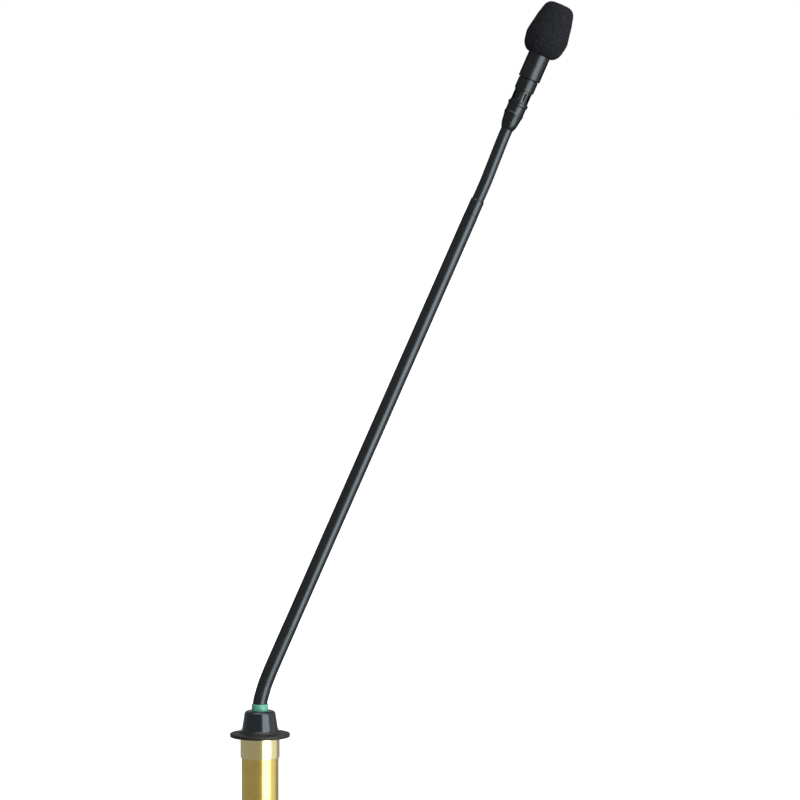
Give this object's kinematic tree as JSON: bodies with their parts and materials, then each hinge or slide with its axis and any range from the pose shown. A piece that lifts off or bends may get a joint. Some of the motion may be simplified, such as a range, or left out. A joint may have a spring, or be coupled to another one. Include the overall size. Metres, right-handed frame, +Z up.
{
  "type": "gooseneck lectern microphone",
  "caption": "Slim gooseneck microphone with foam windscreen, flexible neck ends, stiff centre tube, isolator bell and flange, and a threaded barrel with a three-pin connector below the desk.",
  "frame": {"origin": "centre of the flange's underside, the plane of the desk's surface", "axes": "+Z up, square to the desk; the neck leans towards +X; -Y is the side facing the viewer"},
  "size_m": [0.199, 0.035, 0.523],
  "materials": {
    "foam": "matte open-cell foam",
    "black_metal": "satin",
    "neck_black": "satin",
    "bell_rubber": "glossy",
    "relief_green": "satin, slightly translucent",
    "brass_polished": "polished",
    "brass_drawn": "drawn, satin",
    "nickel": "satin nickel",
    "zinc_steel": "zinc plated",
    "connector_black": "moulded",
    "contact_silver": "silver plated",
    "circuit_board": "solder mask",
    "component_black": "moulded",
    "spacer_white": "moulded",
    "lead_jacket": "satin",
    "wire_red": "insulated",
    "screen_steel": "woven mesh",
    "boot_rubber": "matte",
    "can_aluminium": "drawn",
    "film_gold": "metallised film",
    "holder_plastic": "moulded"
  },
  "bodies": {
    "base": {"flange": "black_metal", "isolator_bell": "bell_rubber", "strain_relief_ring": "relief_green", "neck_stud": "zinc_steel", "stud_washer": "zinc_steel", "stud_nut": "zinc_steel", "barrel_tube": "brass_drawn", "barrel_collar": "brass_polished", "xlr_shell": "nickel", "xlr_insert": "connector_black", "xlr_pins": "contact_silver", "insert_screw": "zinc_steel", "preamp_board": "circuit_board", "preamp_components": "component_black", "board_spacers": "spacer_white", "pin_wires": "wire_red", "lead_base": "lead_jacket", "lead_lower": "lead_jacket"},
    "lower_link_1": {"lower_link_1": "neck_black"},
    "lower_link_2": {"lower_link_2": "neck_black"},
    "lower_link_3": {"lower_link_3": "neck_black"},
    "lower_link_4": {"lower_link_4": "neck_black"},
    "lower_link_5": {"lower_link_5": "neck_black"},
    "lower_link_6": {"lower_link_6": "neck_black"},
    "lower_link_7": {"lower_link_7": "neck_black"},
    "lower_link_8": {"lower_link_8": "neck_black"},
    "lower_link_9": {"lower_link_9": "neck_black"},
    "tube": {"tube_bushing": "black_metal", "center_tube": "neck_black", "tube_collar": "neck_black", "lead_center": "lead_jacket", "lead_upper": "lead_jacket"},
    "upper_link_1": {"upper_link_1": "neck_black"},
    "upper_link_2": {"upper_link_2": "neck_black"},
    "upper_link_3": {"upper_link_3": "neck_black"},
    "upper_link_4": {"upper_link_4": "neck_black"},
    "upper_link_5": {"upper_link_5": "neck_black"},
    "upper_link_6": {"upper_link_6": "neck_black"},
    "upper_link_7": {"upper_link_7": "neck_black"},
    "upper_link_8": {"upper_link_8": "neck_black"},
    "upper_link_9": {"upper_link_9": "neck_black"},
    "head": {"neck_adapter": "black_metal", "adapter_screw": "zinc_steel", "vent_ring": "black_metal", "vent_screen": "screen_steel", "cartridge_ring": "black_metal", "capsule_housing": "black_metal", "front_grille": "black_metal", "grille_screen": "screen_steel", "cartridge_boot": "boot_rubber", "cartridge_can": "can_aluminium", "cartridge_diaphragm": "film_gold", "cartridge_backplate": "film_gold", "backplate_holder": "holder_plastic", "cartridge_board": "circuit_board", "cartridge_pins": "contact_silver", "lead_head": "lead_jacket"},
    "windscreen": {"windscreen": "foam"},
    "clamp_washer": {"clamp_washer": "zinc_steel"},
    "lock_nut": {"lock_nut": "zinc_steel"}
  },
  "joints": [
    {"name": "lower_side_1", "type": "hinge", "parent": "base", "child": "lower_link_1", "pos_m": [0, 0, 0.0205], "axis": [0.0009, 1, 0.0005], "range_deg": [-16.7, 7.2], "deforming": ["lead_lower"]},
    {"name": "lower_front_2", "type": "hinge", "parent": "lower_link_1", "child": "lower_link_2", "pos_m": [0.00136, 0, 0.02531], "axis": [0.9624, 0, -0.2716], "range_deg": [-12, 12]},
    {"name": "lower_side_3", "type": "hinge", "parent": "lower_link_2", "child": "lower_link_3", "pos_m": [0.00272, 0, 0.03012], "axis": [0.0009, 1, 0.0005], "range_deg": [-16.7, 7.2]},
    {"name": "lower_front_4", "type": "hinge", "parent": "lower_link_3", "child": "lower_link_4", "pos_m": [0.00457, 0, 0.03477], "axis": [0.9287, 0, -0.3707], "range_deg": [-12, 12]},
    {"name": "lower_side_5", "type": "hinge", "parent": "lower_link_4", "child": "lower_link_5", "pos_m": [0.00642, 0, 0.03941], "axis": [0.0009, 1, 0.0005], "range_deg": [-16.7, 7.2]},
    {"name": "lower_front_6", "type": "hinge", "parent": "lower_link_5", "child": "lower_link_6", "pos_m": [0.00844, 0, 0.04399], "axis": [0.9152, 0, -0.4029], "range_deg": [-12, 12]},
    {"name": "lower_side_7", "type": "hinge", "parent": "lower_link_6", "child": "lower_link_7", "pos_m": [0.01045, 0, 0.04856], "axis": [0.0009, 1, 0.0005], "range_deg": [-16.7, 7.2]},
    {"name": "lower_front_8", "type": "hinge", "parent": "lower_link_7", "child": "lower_link_8", "pos_m": [0.01247, 0, 0.05314], "axis": [0.9152, 0, -0.4029], "range_deg": [-12, 12]},
    {"name": "lower_side_9", "type": "hinge", "parent": "lower_link_8", "child": "lower_link_9", "pos_m": [0.01448, 0, 0.05772], "axis": [0.0009, 1, 0.0005], "range_deg": [-16.7, 7.2]},
    {"name": "lower_front_10", "type": "hinge", "parent": "lower_link_9", "child": "tube", "pos_m": [0.0165, 0, 0.06229], "axis": [0.9152, 0, -0.4029], "range_deg": [-12, 12]},
    {"name": "upper_side_1", "type": "hinge", "parent": "tube", "child": "upper_link_1", "pos_m": [0.12754, 0, 0.31453], "axis": [0.0009, 1, 0.0005], "range_deg": [-15, 15], "deforming": ["lead_upper"]},
    {"name": "upper_front_2", "type": "hinge", "parent": "upper_link_1", "child": "upper_link_2", "pos_m": [0.12935, 0, 0.31865], "axis": [0.9152, 0, -0.4029], "range_deg": [-15, 15]},
    {"name": "upper_side_3", "type": "hinge", "parent": "upper_link_2", "child": "upper_link_3", "pos_m": [0.13116, 0, 0.32277], "axis": [0.0009, 1, 0.0005], "range_deg": [-15, 15]},
    {"name": "upper_front_4", "type": "hinge", "parent": "upper_link_3", "child": "upper_link_4", "pos_m": [0.13281, 0, 0.32696], "axis": [0.9307, 0, -0.3659], "range_deg": [-15, 15]},
    {"name": "upper_side_5", "type": "hinge", "parent": "upper_link_4", "child": "upper_link_5", "pos_m": [0.13446, 0, 0.33115], "axis": [0.0009, 1, 0.0005], "range_deg": [-15, 15]},
    {"name": "upper_front_6", "type": "hinge", "parent": "upper_link_5", "child": "upper_link_6", "pos_m": [0.1361, 0, 0.33533], "axis": [0.9307, 0, -0.3659], "range_deg": [-15, 15]},
    {"name": "upper_side_7", "type": "hinge", "parent": "upper_link_6", "child": "upper_link_7", "pos_m": [0.13775, 0, 0.33952], "axis": [0.0009, 1, 0.0005], "range_deg": [-15, 15]},
    {"name": "upper_front_8", "type": "hinge", "parent": "upper_link_7", "child": "upper_link_8", "pos_m": [0.13939, 0, 0.34371], "axis": [0.9307, 0, -0.3659], "range_deg": [-15, 15]},
    {"name": "upper_side_9", "type": "hinge", "parent": "upper_link_8", "child": "upper_link_9", "pos_m": [0.14104, 0, 0.3479], "axis": [0.0009, 1, 0.0005], "range_deg": [-15, 15]},
    {"name": "upper_front_10", "type": "hinge", "parent": "upper_link_9", "child": "head", "pos_m": [0.14284, 0, 0.35202], "axis": [0.9164, 0, -0.4003], "range_deg": [-15, 15]},
    {"name": "windscreen_slide", "type": "slide", "parent": "head", "child": "windscreen", "axis": [0.4003, 0, 0.9164], "range_m": [0, 0.0175]},
    {"name": "washer_slide", "type": "slide", "parent": "base", "child": "clamp_washer", "axis": [0, 0, 1], "range_m": [-0.02401, 0.00451]},
    {"name": "nut_spin", "type": "hinge", "parent": "clamp_washer", "child": "lock_nut", "pos_m": [0, 0, -0.0456], "axis": [0, 0, 1], "range_deg": [-5760, 1080]}
  ],
  "couplings": [
    {"joint": "lower_side_3", "follows": "lower_side_1", "ratio": 1},
    {"joint": "lower_front_4", "follows": "lower_front_2", "ratio": 1},
    {"joint": "lower_side_5", "follows": "lower_side_1", "ratio": 1},
    {"joint": "lower_front_6", "follows": "lower_front_2", "ratio": 1},
    {"joint": "lower_side_7", "follows": "lower_side_1", "ratio": 1},
    {"joint": "lower_front_8", "follows": "lower_front_2", "ratio": 1},
    {"joint": "lower_side_9", "follows": "lower_side_1", "ratio": 1},
    {"joint": "lower_front_10", "follows": "lower_front_2", "ratio": 1},
    {"joint": "upper_side_3", "follows": "upper_side_1", "ratio": 1},
    {"joint": "upper_front_4", "follows": "upper_front_2", "ratio": 1},
    {"joint": "upper_side_5", "follows": "upper_side_1", "ratio": 1},
    {"joint": "upper_front_6", "follows": "upper_front_2", "ratio": 1},
    {"joint": "upper_side_7", "follows": "upper_side_1", "ratio": 1},
    {"joint": "upper_front_8", "follows": "upper_front_2", "ratio": 1},
    {"joint": "upper_side_9", "follows": "upper_side_1", "ratio": 1},
    {"joint": "upper_front_10", "follows": "upper_front_2", "ratio": 1},
    {"joint": "washer_slide", "follows": "nut_spin", "m_per_rad": 0.00023873}
  ]
}
